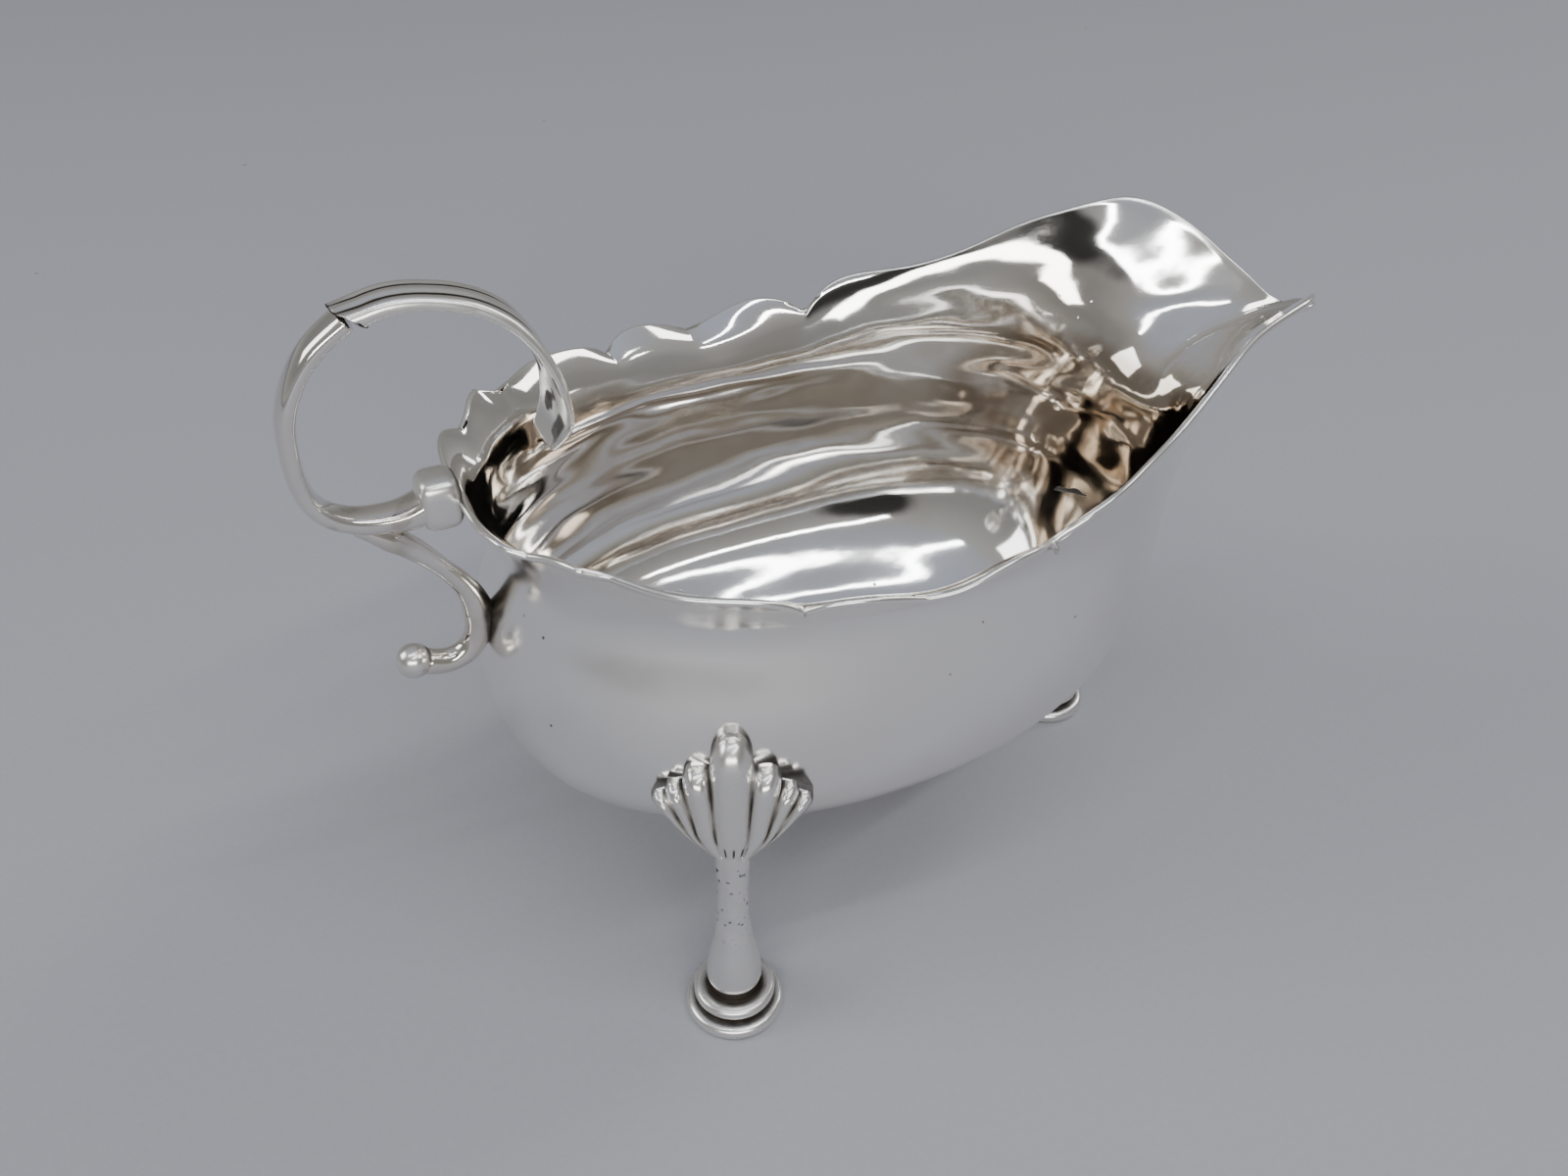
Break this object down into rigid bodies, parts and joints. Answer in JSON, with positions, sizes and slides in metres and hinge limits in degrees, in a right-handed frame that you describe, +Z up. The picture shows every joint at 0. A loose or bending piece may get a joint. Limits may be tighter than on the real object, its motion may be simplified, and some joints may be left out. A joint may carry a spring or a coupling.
{
  "type": "sauce boat",
  "caption": "Footed silver sauce boat with a wavy flared rim, wide pouring lip, flying scroll handle with leaf cap, and shell-headed legs.",
  "frame": {"origin": "on the table plane, under the middle of the overall length and width", "axes": "+X toward the pouring lip, +Y to the left side, +Z up"},
  "size_m": [0.1717, 0.091, 0.1084],
  "materials": {
    "silver_polished": "raised silver sheet, mirror polished, faint hammering, warm tarnish inside near the lip",
    "silver_cast": "cast silver, polished on the high spots, dark oxide in the grooves and joints"
  },
  "bodies": {
    "root": {"bowl": "silver_polished", "handle_loop": "silver_cast", "handle_leaf_cap": "silver_cast", "handle_lower_scroll": "silver_cast", "handle_terminal_bud": "silver_cast", "handle_rim_knuckle": "silver_cast", "shell_knuckle_right": "silver_cast", "shell_knuckle_left": "silver_cast", "shell_knuckle_front": "silver_cast", "leg_shaft_right": "silver_cast", "leg_shaft_left": "silver_cast", "leg_shaft_front": "silver_cast", "foot_pad_right": "silver_cast", "foot_pad_left": "silver_cast", "foot_pad_front": "silver_cast"}
  },
  "joints": []
}
